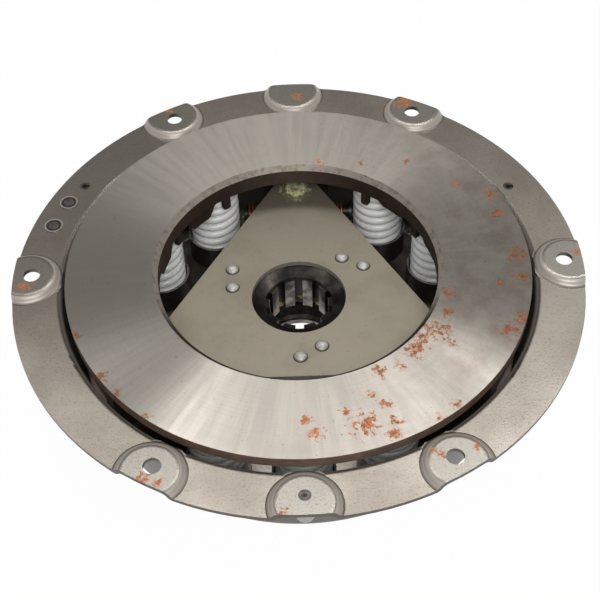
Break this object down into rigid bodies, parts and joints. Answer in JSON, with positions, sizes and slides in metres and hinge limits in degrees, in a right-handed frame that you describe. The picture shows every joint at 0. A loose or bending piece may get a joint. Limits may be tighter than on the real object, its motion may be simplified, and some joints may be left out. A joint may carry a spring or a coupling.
{
  "type": "clutch pressure plate",
  "caption": "Dished steel clutch cover with raised bolt pads, a sprung ground friction ring, release levers, and a riveted splined hub plate across the middle.",
  "frame": {"origin": "on the axis, in the plane of the bolt pads that meet the flywheel", "axes": "+Z along the axis towards the flywheel, -Y towards the pad that holds the dowel"},
  "size_m": [0.412, 0.412, 0.101],
  "materials": {
    "cover_steel": "satin pressed steel, lightly oxidised",
    "ground_iron": "face ground in circles, sides rough cast and brown",
    "spring_enamel": "glossy white enamel",
    "cup_steel": "black",
    "lever_steel": "dark forged",
    "bracket_steel": "dark forged",
    "pin_steel": "plain",
    "copper_wire": "copper-coloured wire",
    "wire_steel": "plain wire",
    "bolt_steel": "plain",
    "rivet_steel": "bright domes",
    "plate_steel": "smooth warm grey satin",
    "hub_steel": "machined, oiled"
  },
  "bodies": {
    "housing": {"cover": "cover_steel", "pivot_clips": "wire_steel", "plate_bolts": "bolt_steel", "plate_washers": "bolt_steel", "bracket_rivets": "rivet_steel", "drive_plate": "plate_steel", "drive_hub": "hub_steel", "hub_rivets": "rivet_steel", "balance_weight": "cover_steel", "balance_rivets": "rivet_steel", "roll_pins": "pin_steel", "rim_dowel": "pin_steel", "pressure_spring_1": "spring_enamel", "pressure_spring_2": "spring_enamel", "pressure_spring_3": "spring_enamel", "pressure_spring_4": "spring_enamel", "pressure_spring_5": "spring_enamel", "pressure_spring_6": "spring_enamel", "pressure_spring_7": "spring_enamel", "pressure_spring_8": "spring_enamel", "pressure_spring_9": "spring_enamel", "spring_cup_1": "cup_steel", "spring_cup_2": "cup_steel", "spring_cup_3": "cup_steel", "spring_cup_4": "cup_steel", "spring_cup_5": "cup_steel", "spring_cup_6": "cup_steel", "spring_cup_7": "cup_steel", "spring_cup_8": "cup_steel", "spring_cup_9": "cup_steel", "lever_bracket_1": "bracket_steel", "lever_bracket_2": "bracket_steel", "lever_bracket_3": "bracket_steel", "pivot_pin_1": "pin_steel", "pivot_pin_2": "pin_steel", "pivot_pin_3": "pin_steel", "lever_coils_1": "copper_wire", "lever_coils_2": "copper_wire", "lever_coils_3": "copper_wire"},
    "pressure_plate": {"pressure_ring": "ground_iron", "lug_pin_1": "pin_steel", "lug_pin_2": "pin_steel", "lug_pin_3": "pin_steel"},
    "lever_a": {"release_lever_1": "lever_steel"},
    "lever_b": {"release_lever_2": "lever_steel"},
    "lever_c": {"release_lever_3": "lever_steel"},
    "release_plate": {"thrust_ring": "hub_steel", "thrust_retainer_1": "wire_steel", "thrust_retainer_2": "wire_steel", "thrust_retainer_3": "wire_steel"}
  },
  "joints": [
    {"name": "ring_slide", "type": "slide", "parent": "housing", "child": "pressure_plate", "axis": [0, 0, 1], "range_m": [-0.003, 0], "stiffness_N_per_m": 20000, "springref_m": 0.01, "deforming": ["pressure_spring_1", "pressure_spring_2", "pressure_spring_3", "pressure_spring_4", "pressure_spring_5", "pressure_spring_6", "pressure_spring_7", "pressure_spring_8", "pressure_spring_9"]},
    {"name": "lever_a_hinge", "type": "hinge", "parent": "housing", "child": "lever_a", "pos_m": [0.09829, -0.05675, -0.058], "axis": [0.5, 0.866, 0], "range_deg": [0, 8.2]},
    {"name": "lever_b_hinge", "type": "hinge", "parent": "housing", "child": "lever_b", "pos_m": [0, 0.1135, -0.058], "axis": [-1, 0, 0], "range_deg": [0, 8.2]},
    {"name": "lever_c_hinge", "type": "hinge", "parent": "housing", "child": "lever_c", "pos_m": [-0.09829, -0.05675, -0.058], "axis": [0.5, -0.866, 0], "range_deg": [0, 8.2]},
    {"name": "release_slide", "type": "slide", "parent": "housing", "child": "release_plate", "axis": [0, 0, 1], "range_m": [0, 0.0099]}
  ],
  "couplings": [
    {"joint": "lever_a_hinge", "follows": "ring_slide", "rad_per_m": -47.619},
    {"joint": "lever_b_hinge", "follows": "ring_slide", "rad_per_m": -47.619},
    {"joint": "lever_c_hinge", "follows": "ring_slide", "rad_per_m": -47.619},
    {"joint": "release_slide", "follows": "ring_slide", "ratio": -3.2857}
  ]
}
